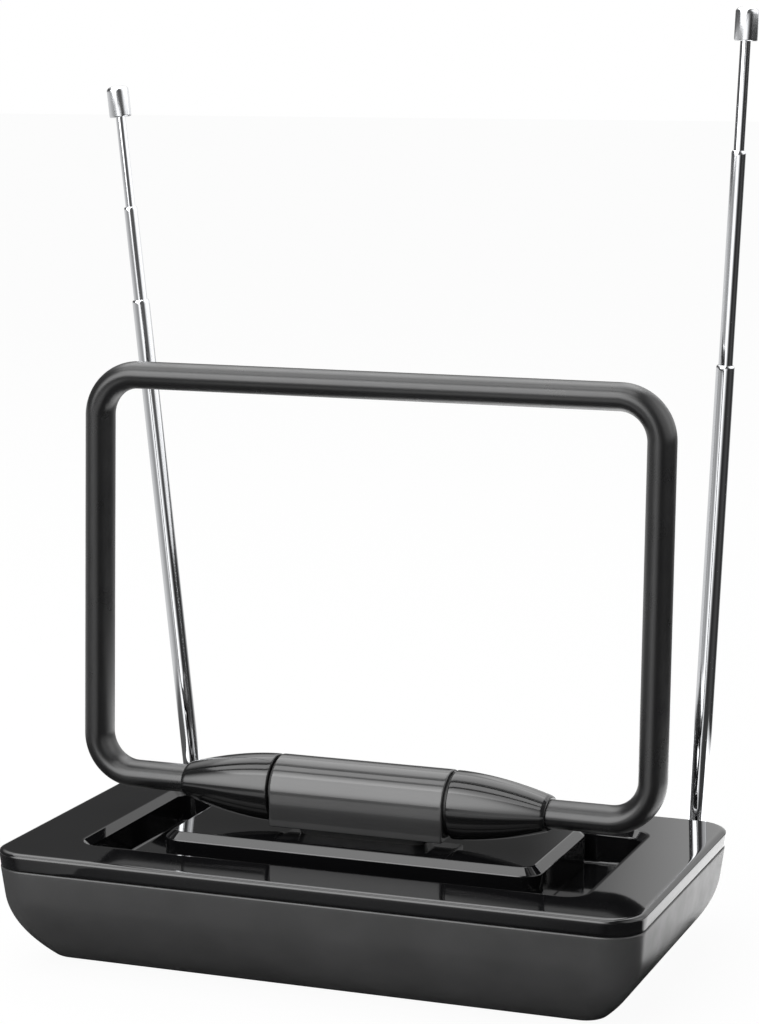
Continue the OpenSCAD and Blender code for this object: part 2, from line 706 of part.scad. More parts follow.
// A drawn tube with its top rolled in to hold the next stage
module rod_tube(z0, z1, r, slide_r) {
    translate([0, 0, z0]) rotate_extrude() polygon([[r - rod_wall, 0], [r, 0], [r, z1 - z0 - 0.8],
        [r - 0.12, z1 - z0 - 0.35], [r - 0.4, z1 - z0], [slide_r + rod_fit, z1 - z0],
        [slide_r + rod_fit, z1 - z0 - lip], [r - rod_wall, z1 - z0 - lip - 0.3]]);
}

module outer_tube(side) {
    color([0.8, 0.8, 0.82]) on_rod(side) rod_tube(tube_start, outer_end(side), outer_r, middle_r);
}

module middle_tube(side) {
    color([0.8, 0.8, 0.82]) on_rod(side)
        rod_tube(middle_end(side) - middle_len, middle_end(side), middle_r, inner_r);
}

// Brass guide pushed into the foot of the middle tube, which runs in the outer tube
module middle_guide(side) {
    r = middle_bore - 0.02;
    color([0.75, 0.62, 0.3]) on_rod(side) translate([0, 0, middle_end(side) - middle_len])
        rotate_extrude() polygon([[0.9, -guide_len], [outer_bore - rod_fit - 0.3, -guide_len],
            [outer_bore - rod_fit, 0.3 - guide_len], [outer_bore - rod_fit, 0], [r, 0], [r, guide_len],
            [0.9, guide_len]]);
}

module inner_rod(side) {
    z0 = cap_start(side) - inner_len;
    color([0.8, 0.8, 0.82]) on_rod(side) difference() {
        translate([0, 0, z0]) cylinder(h = inner_len + cap_len - 4, r = inner_r);
        translate([0, 0, z0 - past]) cylinder(h = guide_len + past, r = 0.9);
    }
}

// Brass guide on the foot of the inner rod, which runs in the middle tube
module inner_guide(side) {
    color([0.75, 0.62, 0.3]) on_rod(side) translate([0, 0, cap_start(side) - inner_len])
        rotate_extrude() polygon([[0, -guide_len], [middle_bore - rod_fit - 0.3, -guide_len],
            [middle_bore - rod_fit, 0.3 - guide_len], [middle_bore - rod_fit, 0], [0.88, 0],
            [0.88, guide_len], [0, guide_len]]);
}

// Plain cap on a rod's tip
module tip_cap(side) {
    r = cap_od / 2;
    color([0.8, 0.8, 0.82]) on_rod(side) translate([0, 0, cap_start(side)]) rotate_extrude()
        polygon([[inner_r + 0.02, 0], [r - 0.5, 0], [r, 0.5], [r, cap_len - 1.6], [r - 0.3, cap_len - 0.8],
            [r - 1, cap_len - 0.3], [r - 2, cap_len], [0, cap_len], [0, cap_len - 3.98],
            [inner_r + 0.02, cap_len - 3.98]]);
}

lower_casing();
top_cover();
loop_platform();
spindle_housing();
spindle_bush(-1);  // left_bush
spindle_bush(1);  // right_bush
spindle();
loop_cone(-1);  // left_cone
loop_cone(1);  // right_cone
loop_tube();
cone_screws();
casing_screws();
platform_screws();
housing_screws();
rubber_feet();
circuit_board();
balun_core();
board_screws();
ballast_plate();
ballast_screws();
cable_gland();
rod_fork(-1);  // left_rod_fork
rod_fork(1);  // right_rod_fork
pivot_screw(-1);  // left_pivot_screw
pivot_screw(1);  // right_pivot_screw
pivot_nut(-1);  // left_pivot_nut
pivot_nut(1);  // right_pivot_nut
rod_knuckle(-1);  // left_rod_knuckle
rod_knuckle(1);  // right_rod_knuckle
outer_tube(-1);  // left_outer_tube
outer_tube(1);  // right_outer_tube
middle_tube(-1);  // left_middle_tube
middle_tube(1);  // right_middle_tube
middle_guide(-1);  // left_middle_guide
middle_guide(1);  // right_middle_guide
inner_rod(-1);  // left_inner_rod
inner_rod(1);  // right_inner_rod
inner_guide(-1);  // left_inner_guide
inner_guide(1);  // right_inner_guide
tip_cap(-1);  // left_tip_cap
tip_cap(1);  // right_tip_cap
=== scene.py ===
"""Indoor television antenna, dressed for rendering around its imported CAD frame.

Lengths are in metres. X runs to the right, Y to the back and Z up, and the origin is on the
table under the middle of the base.
"""
import json
from math import atan2, cos, pi, radians, sin

import bmesh
import bpy
from bpy.props import FloatProperty, FloatVectorProperty, PointerProperty
from mathutils import Matrix, Vector


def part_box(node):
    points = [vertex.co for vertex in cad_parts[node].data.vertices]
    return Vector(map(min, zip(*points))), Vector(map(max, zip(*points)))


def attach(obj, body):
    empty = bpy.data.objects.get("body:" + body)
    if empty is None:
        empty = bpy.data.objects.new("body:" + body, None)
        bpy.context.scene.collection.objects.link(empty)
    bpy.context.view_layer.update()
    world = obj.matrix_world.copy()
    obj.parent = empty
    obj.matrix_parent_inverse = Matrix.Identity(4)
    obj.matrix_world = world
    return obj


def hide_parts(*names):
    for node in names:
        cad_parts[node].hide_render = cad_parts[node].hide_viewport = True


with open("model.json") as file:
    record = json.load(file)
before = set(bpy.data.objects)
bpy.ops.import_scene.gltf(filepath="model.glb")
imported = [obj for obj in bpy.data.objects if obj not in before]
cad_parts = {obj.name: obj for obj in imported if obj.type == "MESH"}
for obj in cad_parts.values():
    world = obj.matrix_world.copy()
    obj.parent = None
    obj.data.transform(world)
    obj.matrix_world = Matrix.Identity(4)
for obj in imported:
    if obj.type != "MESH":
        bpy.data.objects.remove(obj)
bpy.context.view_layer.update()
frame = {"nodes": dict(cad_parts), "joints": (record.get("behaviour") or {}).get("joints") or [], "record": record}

bl_info = {
    "name": "Indoor television antenna",
    "version": (1, 0, 0),
    "blender": (4, 5, 0),
    "location": "View3D > Sidebar > Antenna",
    "description": "Builds the visible pieces, finishes and studio of a loop and rod antenna",
    "category": "Add Mesh",
}

MM = 0.001
ARC = 16        # segments in a quarter turn of a plan corner
TURN = 96       # segments around a round piece
BESIDE = 0.8 * MM   # distance from a corner to the point that keeps the straight side flat
SHARP = radians(32)


def length(name, text, millimetres):
    """A size in the sidebar, given here in millimetres."""
    return FloatProperty(name=name, description=text, default=millimetres * MM, min=0,
                         unit='LENGTH', precision=4)


def tint(name, text, *value):
    """A colour in the sidebar."""
    return FloatVectorProperty(name=name, description=text, default=value, size=3,
                               min=0, max=1, subtype='COLOR')


def amount(name, text, value, top=1.0):
    """A plain number in the sidebar."""
    return FloatProperty(name=name, description=text, default=value, min=0, max=top)


class AntennaBase(bpy.types.PropertyGroup):
    """Sizes of the base: its casing, its cover and the well in it"""
    width: length("Width", "Width of the base, side to side", 220)
    depth: length("Depth", "Depth of the base, front to back", 126.6)
    height: length("Height", "Height of the base to the top of its cover", 39.1)
    corner: length("Corner radius", "Plan radius of the base's corners", 12.4)
    draft: amount("Draft", "How much the sides draw in for each unit down", 0.12)
    tuck_start: length("Tuck start", "Depth at which the sides start to tuck under", 15.6)
    tuck_in: length("Tuck in", "How far the tuck takes the sides in", 12.5)
    foot: length("Foot", "Height of the feet below the casing", 1.2)
    wall: length("Casing wall", "Wall of the lower casing", 2.4)
    cover_wall: length("Cover wall", "Wall of the cover", 2.2)
    cover_edge: length("Cover edge", "Depth of the cover's edge, from its top to the seam", 5.4)
    seam: length("Seam", "Width of the seam between cover and casing", 0.3)
    roll_down: length("Roll height", "Height of the soft roll along the cover's edge", 1.4)
    roll_in: length("Roll reach", "How far in the roll along the cover's edge reaches", 2.2)
    step: length("Step", "How far the cover stands back from the casing at the seam", 0.25)
    edge: length("Edge", "Small rounding along the underside and the cover's lower edge", 0.2)
    lip: length("Lip", "Rounding along the casing's upper edge", 0.6)
    well_width: length("Well width", "Width of the well at its rim", 173.6)
    well_depth: length("Well depth", "Depth of the well from front to back", 84)
    well_forward: length("Well forward", "How far the well lies to the front", 1)
    well_drop: length("Well drop", "How deep the well is", 12)
    well_rim: length("Well rim", "Bevel around the well", 2.3)
    well_corner: length("Well corner", "Plan radius of the well's corners", 5)
    well_fillet: length("Well fillet", "Rounding at the foot of the well's walls", 1)


class AntennaCentre(bpy.types.PropertyGroup):
    """Sizes of the platform, the housing on the tilt axis, the cones and the loop"""
    platform_width: length("Platform width", "Width of the platform", 131.8)
    platform_front: length("Platform front", "The platform's front, from the base's middle", 23)
    platform_back: length("Platform back", "The platform's back, from the base's middle", 37.9)
    platform_rise: length("Platform rise", "Height of the platform's top above the cover's", 1.1)
    platform_bevel: length("Platform bevel", "Bevel around the platform's top", 2.7)
    platform_drop: length("Platform bevel height", "Height of the bevel around its top", 2.35)
    platform_corner: length("Platform corner", "Plan radius of the platform's corners", 7)
    housing_length: length("Housing length", "Length of the housing", 60.6)
    housing_radius: length("Housing radius", "Radius of the housing's rounded top", 11.5)
    housing_below: length("Housing below", "Depth of the housing below the tilt axis", 10.7)
    neck_width: length("Neck width", "Width of the neck under the housing", 46.6)
    neck_depth: length("Neck depth", "Depth of the neck, front to back", 15)
    neck_draft: length("Neck draft", "How far each side of the neck draws in at its foot", 1.3)
    joint: length("Joint", "Width of the joint between the housing and a cone", 1.1)
    cone_length: length("Cone length", "Length of each cone", 32.6)
    cone_radius: length("Cone radius", "Radius of a cone beside the housing", 11.4)
    tip_height: length("Cone tip height", "Height of a cone's small end", 11.4)
    tip_depth: length("Cone tip depth", "Depth of a cone's small end", 15.8)
    fullness: amount("Cone fullness", "How full a cone's curve is: 1 is straight", 1.8, 4)
    lean: FloatProperty(name="Loop lean", description="How far back the loop leans",
                        default=radians(1.5), subtype='ANGLE')
    loop_width: length("Loop width", "Width of the loop, between its tube's middles", 195.5)
    loop_height: length("Loop height", "Height of the loop above the tilt axis", 136.6)
    loop_bend: length("Loop bend", "Bend radius of the loop's tube", 14)
    tube_width: length("Tube width", "Thickness of the loop's tube from the front", 9.2)
    tube_depth: length("Tube depth", "Thickness of the loop's tube front to back", 13.6)
    socket: length("Socket", "Depth of the socket that takes the loop's end", 14)


class AntennaRods(bpy.types.PropertyGroup):
    """Sizes of the telescopic rods, measured up each rod from its pivot"""
    start: length("Start", "Foot of the outer tube", 8.5)
    outer: length("Outer diameter", "Diameter of the outer tube", 6.2)
    middle: length("Middle diameter", "Diameter of the middle tube", 4.8)
    inner: length("Inner diameter", "Diameter of the inner rod", 3.5)
    wall: length("Wall", "Wall of the tubes", 0.4)
    fit: length("Fit", "Clearance around what slides", 0.1)
    lip: length("Lip", "Length of the rolled lip", 1.2)
    left_outer: length("Left outer", "End of the left outer tube", 183.8)
    left_middle: length("Left middle", "How far the left middle tube is drawn out", 33.6)
    left_inner: length("Left inner", "How far the left inner rod is drawn out", 32.2)
    right_outer: length("Right outer", "End of the right outer tube", 167.6)
    right_middle: length("Right middle", "How far the right middle tube is drawn out", 71.8)
    right_inner: length("Right inner", "How far the right inner rod is drawn out", 36)
    middle_length: length("Middle length", "Length of each middle tube", 140)
    inner_length: length("Inner length", "Length of each inner rod", 130)
    cap: length("Cap diameter", "Diameter of the tip caps", 7.8)
    cap_length: length("Cap length", "Length of the tip caps", 11)


class AntennaFinish(bpy.types.PropertyGroup):
    """Colours of the finishes"""
    casing: tint("Casing", "Satin dark grey moulding of the casing", 0.046, 0.046, 0.0465)
    cover: tint("Cover", "High gloss black moulding of the cover", 0.005, 0.005, 0.0055)
    housing: tint("Housing", "Semi-gloss moulding of the housing", 0.055, 0.055, 0.0555)
    cones: tint("Cones", "Glossy moulding of the cones", 0.010, 0.010, 0.0103)
    loop: tint("Loop", "Satin coating of the loop", 0.013, 0.013, 0.0135)
    chrome: tint("Chrome", "Bright plating of the rods", 0.83, 0.84, 0.86)
    steel: tint("Steel", "Zinc plated steel", 0.56, 0.57, 0.60)
    brass: tint("Brass", "Turned brass", 0.72, 0.52, 0.24)
    bush: tint("Bush", "Black nylon bushes", 0.008, 0.008, 0.008)
    rubber: tint("Rubber", "Rubber feet and gland", 0.014, 0.014, 0.015)
    board: tint("Board", "Lacquered circuit board", 0.02, 0.12, 0.05)
    ferrite: tint("Ferrite", "Fired ferrite core", 0.05, 0.05, 0.052)
    floor: tint("Floor", "Pale studio floor", 0.86, 0.86, 0.86)


# Meshes

def outline(width, depth, radius, z, y=0.0, steps=ARC):
    """Rounded rectangle at height z, anticlockwise, with a point beside each corner's ends."""
    points = []
    for c, (sx, sy) in enumerate(((1, 1), (-1, 1), (-1, -1), (1, -1))):
        cx, cy = sx * (width / 2 - radius), y + sy * (depth / 2 - radius)
        angles = [pi / 2 * (c + k / steps) for k in range(steps + 1)]
        arc = [Vector((cx + radius * cos(a), cy + radius * sin(a), z)) for a in angles]
        before = Vector((-sin(angles[0]), cos(angles[0]), 0))
        after = Vector((-sin(angles[-1]), cos(angles[-1]), 0))
        points += [arc[0] - before * BESIDE, *arc, arc[-1] + after * BESIDE]
    return points


def quarter(steps, start=0.0, end=pi / 2):
    """Sine and cosine of evenly spaced angles."""
    for k in range(steps + 1):
        a = start + (end - start) * k / steps
        yield sin(a), cos(a)


def crisp(mesh, limit=SHARP):
    """Smooth shading, with the edges sharper than the limit left crisp."""
    bm = bmesh.new()
    bm.from_mesh(mesh)
    bmesh.ops.recalc_face_normals(bm, faces=bm.faces)
    for face in bm.faces:
        face.smooth = True
    for e in bm.edges:
        e.smooth = len(e.link_faces) == 2 and e.calc_face_angle(0) < limit
    bm.to_mesh(mesh)
    bm.free()


def add_piece(name, bm):
    """Turns a bmesh into an object in the scene."""
    mesh = bpy.data.meshes.new(name)
    bm.to_mesh(mesh)
    bm.free()
    crisp(mesh)
    piece = bpy.data.objects.new(name, mesh)
    bpy.context.scene.collection.objects.link(piece)
    return piece


def skin(bm, rings):
    """Closes a skin over rings with equal numbers of points, with a cap on each end."""
    rows = [[bm.verts.new(p) for p in ring] for ring in rings]
    for low, high in zip(rows, rows[1:]):
        for i, _ in enumerate(low):
            j = (i + 1) % len(low)
            bm.faces.new((low[i], low[j], high[j], high[i]))
    bm.faces.new(list(reversed(rows[0])))
    bm.faces.new(rows[-1])


def skinned(name, *skins, place=None):
    """An object made of one or more closed skins, put in place by a matrix."""
    bm = bmesh.new()
    for rings in skins:
        skin(bm, rings)
    if place is not None:
        bmesh.ops.transform(bm, matrix=place, verts=bm.verts)
    return add_piece(name, bm)


def turned(name, profile, place, hollow):
    """A turned piece: (radius, height) points spun about Z, with a bore where hollow."""
    bm = bmesh.new()
    rows = []
    for radius, z in profile:
        if radius < 1e-7:
            rows.append([bm.verts.new((0, 0, z))])
        else:
            rows.append([bm.verts.new((radius * cos(2 * pi * k / TURN),
                                       radius * sin(2 * pi * k / TURN), z)) for k in range(TURN)])
    pairs = list(zip(rows, rows[1:])) + ([(rows[-1], rows[0])] if hollow else [])
    for low, high in pairs:
        for i in range(TURN):
            j = (i + 1) % TURN
            corners = [low[i % len(low)], low[j % len(low)],
                       high[j % len(high)], high[i % len(high)]]
            bm.faces.new(list(dict.fromkeys(corners)))
    piece = add_piece(name, bm)
    piece.matrix_world = place
    return piece


def block(low, high, round_by=0.0):
    """A temporary box between two corners, with its edges rounded."""
    bm = bmesh.new()
    bmesh.ops.create_cube(bm, size=1)
    size = Vector(high) - Vector(low)
    for v in bm.verts:
        v.co = Vector([low[i] + (v.co[i] + 0.5) * size[i] for i in range(3)])
    if round_by:
        bmesh.ops.bevel(bm, geom=bm.edges[:], offset=round_by, segments=3, affect='EDGES')
    return add_piece("tool", bm)


def peg(centre, axis, radius, size, steps=48):
    """A temporary cylinder about a point."""
    bm = bmesh.new()
    place = Matrix.Translation(centre) @ Vector(axis).to_track_quat('Z', 'Y').to_matrix().to_4x4()
    bmesh.ops.create_cone(bm, cap_ends=True, segments=steps, radius1=radius, radius2=radius,
                          depth=size, matrix=place)
    return add_piece("tool", bm)


def carve(piece, tools, operation):
    """Joins temporary pieces to a piece, or cuts them out of it."""
    for tool in tools:
        change = piece.modifiers.new("carve", 'BOOLEAN')
        change.object, change.operation, change.solver = tool, operation, 'EXACT'
    ready = piece.evaluated_get(bpy.context.evaluated_depsgraph_get())
    mesh = bpy.data.meshes.new_from_object(ready)
    mesh.name = piece.name
    piece.modifiers.clear()
    piece.data = mesh
    for tool in tools:
        bpy.data.objects.remove(tool)
    crisp(mesh)


def ease(piece, width, segments=3, limit=25):
    """Rounds the crisp edges of a piece."""
    change = piece.modifiers.new("ease", 'BEVEL')
    change.width, change.segments = width, segments
    change.limit_method, change.angle_limit = 'ANGLE', radians(limit)
    change.harden_normals = True
    return piece


# Finishes

def new_finish(name):
    """An empty material with its output, its shader and the place on the piece."""
    finish = bpy.data.materials.new(name)
    finish.use_nodes = True
    tree = finish.node_tree
    tree.nodes.clear()
    shader = tree.nodes.new('ShaderNodeBsdfPrincipled')
    output = tree.nodes.new('ShaderNodeOutputMaterial')
    tree.links.new(shader.outputs[0], output.inputs['Surface'])
    place = tree.nodes.new('ShaderNodeTexCoord')
    return finish, tree, shader, place.outputs['Object']


def grain(tree, place, size, detail=2.0, stretch=None):
    """Noise whose features are about size metres across, stretched along an axis if asked."""
    if stretch is not None:
        mapping = tree.nodes.new('ShaderNodeMapping')
        mapping.inputs['Scale'].default_value = stretch
        tree.links.new(place, mapping.inputs['Vector'])
        place = mapping.outputs[0]
    noise = tree.nodes.new('ShaderNodeTexNoise')
    noise.inputs['Scale'].default_value = 1 / size
    noise.inputs['Detail'].default_value = detail
    tree.links.new(place, noise.inputs['Vector'])
    return noise.outputs['Fac']


def between(tree, factor, low, high, start=0.3, end=0.7):
    """Carries a factor to the range from low to high."""
    carry = tree.nodes.new('ShaderNodeMapRange')
    ends = {'From Min': start, 'From Max': end, 'To Min': low, 'To Max': high}
    for socket, value in ends.items():
        carry.inputs[socket].default_value = value
    tree.links.new(factor, carry.inputs['Value'])
    return carry.outputs[0]


def blend_colour(tree, factor, low, high):
    """Mixes two colours by a factor."""
    ramp = tree.nodes.new('ShaderNodeValToRGB')
    ramp.color_ramp.elements[0].position, ramp.color_ramp.elements[0].color = 0.3, (*low, 1)
    ramp.color_ramp.elements[1].position, ramp.color_ramp.elements[1].color = 0.7, (*high, 1)
    tree.links.new(factor, ramp.inputs[0])
    return ramp.outputs['Color']


def calculate(tree, operation, first, second=None):
    """One step of arithmetic on a socket, with a socket or a number as the second value."""
    step = tree.nodes.new('ShaderNodeMath')
    step.operation = operation
    tree.links.new(first, step.inputs[0])
    if isinstance(second, float):
        step.inputs[1].default_value = second
    elif second is not None:
        tree.links.new(second, step.inputs[1])
    return step.outputs[0]


def tones(tree, turn, table):
    """Grey tones around a full turn, from pairs of azimuth in degrees and tone."""
    ramp = tree.nodes.new('ShaderNodeValToRGB')
    points = ramp.color_ramp.elements
    points[1].position = 1.0
    for azimuth, _ in table[1:-1]:
        points.new(azimuth / 360)
    for point, (_, tone) in zip(points, table):
        point.color = (tone, tone, tone, 1)
    tree.links.new(turn, ramp.inputs[0])
    return ramp.outputs['Color']


def mixed(tree, factor, first, second):
    """Mixes two shaders by a factor."""
    mix = tree.nodes.new('ShaderNodeMixShader')
    tree.links.new(factor, mix.inputs[0])
    tree.links.new(first.outputs[0], mix.inputs[1])
    tree.links.new(second.outputs[0], mix.inputs[2])
    return mix


def relief(tree, shader, height, strength, depth):
    """Bump from a height."""
    bump = tree.nodes.new('ShaderNodeBump')
    bump.inputs['Strength'].default_value = strength
    bump.inputs['Distance'].default_value = depth
    tree.links.new(height, bump.inputs['Height'])
    tree.links.new(bump.outputs[0], shader.inputs['Normal'])


def shade(colour, by):
    """A colour made lighter or darker."""
    return tuple(min(1.0, c * by) for c in colour)


def moulded(name, colour, gloss, texture=0.35 * MM, strength=0.1, ior=1.49, mottle=0.12):
    """Moulded plastic: fine tool texture, and faint flow marks in its colour and gloss."""
    finish, tree, shader, place = new_finish(name)
    flow = grain(tree, place, 22 * MM, 4)
    tree.links.new(blend_colour(tree, flow, shade(colour, 1 - mottle), shade(colour, 1 + mottle)),
                   shader.inputs['Base Color'])
    tree.links.new(between(tree, grain(tree, place, 9 * MM, 5), gloss * 0.9, gloss * 1.12),
                   shader.inputs['Roughness'])
    shader.inputs['IOR'].default_value = ior
    relief(tree, shader, grain(tree, place, texture), strength, 0.03 * MM)
    return finish


def plated(name, colour, low, high, lines=0.6 * MM, strength=0.03, stretch=(1, 1, 0.02)):
    """Plated metal with faint draw lines along its own Z."""
    finish, tree, shader, place = new_finish(name)
    drawn = grain(tree, place, lines, 3, stretch)
    tree.links.new(blend_colour(tree, grain(tree, place, 18 * MM, 4), shade(colour, 0.97), colour),
                   shader.inputs['Base Color'])
    tree.links.new(between(tree, drawn, low, high), shader.inputs['Roughness'])
    shader.inputs['Metallic'].default_value = 1.0
    relief(tree, shader, drawn, strength, 0.01 * MM)
    return finish


def finishes():
    """The antenna's finishes, made once, by the record's material slot or by a look's name.

    Each recipe gives the material's name, its maker and the values that the maker takes.
    """
    colours = bpy.context.scene.antenna_finish
    made = {m.name: m for m in bpy.data.materials}
    recipes = {
        'casing': ('satin casing', moulded, 0.34, 0.45 * MM, 0.12),
        'cover': ('gloss cover', moulded, 0.045, 1.5 * MM, 0.008, 1.52),
        'housing': ('semi-gloss housing', moulded, 0.115, 0.5 * MM, 0.015, 1.5, 0.06),
        'cones': ('gloss cones', moulded, 0.10, 0.5 * MM, 0.012, 1.5, 0.06),
        'loop': ('coated loop', moulded, 0.29, 0.8 * MM, 0.02, 1.5),
        'chrome': ('bright plating', plated, 0.03, 0.09),
        'caps': ('satin plating', plated, 0.13, 0.2),
        'steel': ('zinc plating', plated, 0.25, 0.42, 0.4 * MM, 0.1, (1, 1, 1)),
        'brass': ('turned brass', plated, 0.2, 0.34, 0.3 * MM, 0.08, (0.2, 0.2, 1)),
        'bush': ('nylon bush', moulded, 0.5, 0.4 * MM, 0.1),
        'rubber': ('rubber', moulded, 0.75, 0.3 * MM, 0.5),
        'board': ('lacquered board', moulded, 0.3, 0.6 * MM, 0.3, 1.5, 0.25),
        'ferrite': ('fired ferrite', moulded, 0.65, 0.25 * MM, 0.6),
        'ballast': ('plain plate', plated, 0.35, 0.5, 1.5 * MM, 0.15, (0.05, 1, 1)),
    }
    coloured_as = {'ballast': 'steel', 'caps': 'chrome'}
    looks = {}
    for slot, (name, make, *values) in recipes.items():
        colour = tuple(getattr(colours, coloured_as.get(slot, slot)))
        looks[slot] = made.get(name) or make(name, colour, *values)
    return looks


def dress(piece, slot, body, *nodes, look=None):
    """Gives a new piece its finish, its body and the CAD nodes it stands for.

    A look names a finish that isn't the slot's own.
    """
    piece.data.materials.append(finishes()[look or slot])
    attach(piece, body)
    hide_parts(*nodes)
    return piece


# Shapes that several pieces share

def side_inset(base, z):
    """How far the base's sides have drawn in at height z."""
    down = base.height - z
    u = max(0.0, (down - base.tuck_start) / (base.height - base.tuck_start))
    return base.draft * down + base.tuck_in * u * u


def base_ring(base, z, t):
    """The base's outline at height z, t inside its surface."""
    inset = side_inset(base, z)
    return outline(base.width - 2 * (inset + t), base.depth - 2 * (inset + t),
                   max(base.corner - 0.35 * inset - t, 1.5 * MM), z)


def spindle_place():
    """The loop's own frame: its origin on the tilt axis, leaning back with the loop."""
    tilt = next(j for j in frame["joints"] if j["name"] == "loop_tilt")
    lean = bpy.context.scene.antenna_centre.lean
    return Matrix.Translation(Vector(tilt["pos_m"])) @ Matrix.Rotation(-lean, 4, 'X')


def rod_place(side):
    """A rod's own frame: its origin on the pivot, with +Z up the rod."""
    joints = {j["name"]: j for j in frame["joints"]}
    along = Vector(joints[side + "_middle_slide"]["axis"])
    pivot = Vector(joints[side + "_rod_tilt"]["pos_m"])
    return Matrix.Translation(pivot) @ Matrix.Rotation(atan2(along.x, along.z), 4, 'Y')


class ANTENNA_OT_casing(bpy.types.Operator):
    """Builds the lower casing with its rod pads, its gland boss and the holes underneath"""
    bl_idname = "antenna.casing"
    bl_label = "Lower casing"

    def execute(self, context):
        b = context.scene.antenna_base
        top = b.height - b.cover_edge - b.seam
        floor = b.foot + b.wall
        up, inward = 3.6 * b.edge, 5.4 * b.edge     # the softer rounding along the underside
        rings = [base_ring(b, b.foot, inward + BESIDE)]
        rings += [base_ring(b, b.foot + up * (1 - c), inward * (1 - s)) for s, c in quarter(5)]
        steps = 30
        low, high = b.foot + up, top - b.lip
        rings += [base_ring(b, low + (high - low) * k / steps, 0) for k in range(1, steps + 1)]
        rings += [base_ring(b, top - b.lip * (1 - s), b.lip * (1 - c)) for s, c in quarter(6)][1:]
        rings += [base_ring(b, top, b.wall), base_ring(b, top - BESIDE, b.wall)]
        rings += [base_ring(b, top + (floor - top) * k / 12, b.wall) for k in range(1, 13)]
        piece = skinned("casing_shell", rings)
        solids, holes = [], []
        for side in ("left", "right"):
            low_corner, high_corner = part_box(side + "_rod_fork")
            inside = b.depth / 2 - side_inset(b, low_corner.z) - b.wall / 2 - 2 * MM
            solids.append(block((low_corner.x, inside, low_corner.z),
                                (high_corner.x, low_corner.y, top - b.lip), 0.4 * MM))
        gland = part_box("cable_gland")
        z = (gland[0].z + gland[1].z) / 2
        radius = (gland[1].z - gland[0].z) / 2 + 0.8 * MM
        face, long = gland[1].y - 7 * MM, 6 * MM    # the boss around the gland
        solids.append(peg((0, face - long / 2, z), (0, 1, 0), radius, long))
        carve(piece, solids, 'UNION')
        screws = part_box("casing_screws")
        head = 2.85 * MM    # radius of a casing screw's head
        for sx in (-1, 1):
            for sy in (-1, 1):
                holes.append(peg((sx * (screws[1].x - head), sy * (screws[1].y - head), 0),
                                 (0, 0, 1), head + 0.3 * MM, 2 * (floor + 1.5 * MM)))
        carve(piece, holes, 'DIFFERENCE')
        dress(piece, "casing", "base", "lower_casing")
        return {'FINISHED'}


class ANTENNA_OT_cover(bpy.types.Operator):
    """Builds the gloss cover: a shallow lid with a soft rolled edge and a well"""
    bl_idname = "antenna.cover"
    bl_label = "Cover"

    def execute(self, context):
        b = context.scene.antenna_base
        seam, top = b.height - b.cover_edge, b.height
        floor, rim, f, e = top - b.well_drop, b.well_rim, b.well_fillet, b.edge

        def well(t, z):
            """The well's outline at height z, t inside its rim."""
            return outline(b.well_width - 2 * t, b.well_depth - 2 * t,
                           b.well_corner + rim - t, z, -b.well_forward)

        rings = [well(rim + f + BESIDE, floor)]
        rings += [well(rim + f * (1 - s), floor + f * (1 - c)) for s, c in quarter(6)]
        soft = 0.3 * MM     # how far the rim's two edges are softened
        rings += [well(rim, top - rim - BESIDE), well(rim, top - rim - soft),
                  well(rim - soft * 0.3, top - rim + soft * 0.3),
                  well(rim - soft, top - rim + soft),
                  well(soft, top - soft), well(soft * 0.2, top - soft * 0.2), well(-soft, top)]
        rings += [well(-soft - BESIDE, top), base_ring(b, top, b.step + b.roll_in + BESIDE)]
        rings += [base_ring(b, top - b.roll_down * (1 - s), b.step + b.roll_in * (1 - c))
                  for s, c in quarter(14, pi / 2, 0)]
        rings += [base_ring(b, top - b.roll_down - BESIDE, b.step),
                  base_ring(b, seam + e + BESIDE, b.step)]
        rings += [base_ring(b, seam + e * (1 - s), b.step + e * (1 - c)) for s, c in quarter(4)]
        rings += [base_ring(b, seam, b.cover_wall), base_ring(b, top - b.cover_wall, b.cover_wall),
                  well(rim - b.cover_wall, top - b.cover_wall),
                  well(rim - b.cover_wall, floor - b.cover_wall)]
        dress(skinned("cover_shell", rings), "cover", "base", "top_cover")
        return {'FINISHED'}


class ANTENNA_OT_platform(bpy.types.Operator):
    """Builds the bevelled platform in the well"""
    bl_idname = "antenna.platform"
    bl_label = "Platform"

    def execute(self, context):
        b, c = context.scene.antenna_base, context.scene.antenna_centre
        top, floor = b.height + c.platform_rise, b.height - b.well_drop
        deep, middle = c.platform_front + c.platform_back, (c.platform_back - c.platform_front) / 2

        def ring(t, radius, z):
            """The platform's outline at height z, t inside its sides."""
            return outline(c.platform_width - 2 * t, deep - 2 * t, radius, z, middle, 12)

        bevel, corner = c.platform_bevel, c.platform_corner
        rings = [ring(0, corner, floor), ring(0, corner, top - c.platform_drop),
                 ring(bevel, corner * 0.7, top)]
        piece = ease(skinned("platform_block", rings), 0.35 * MM)
        dress(piece, "cover", "base", "loop_platform")
        return {'FINISHED'}


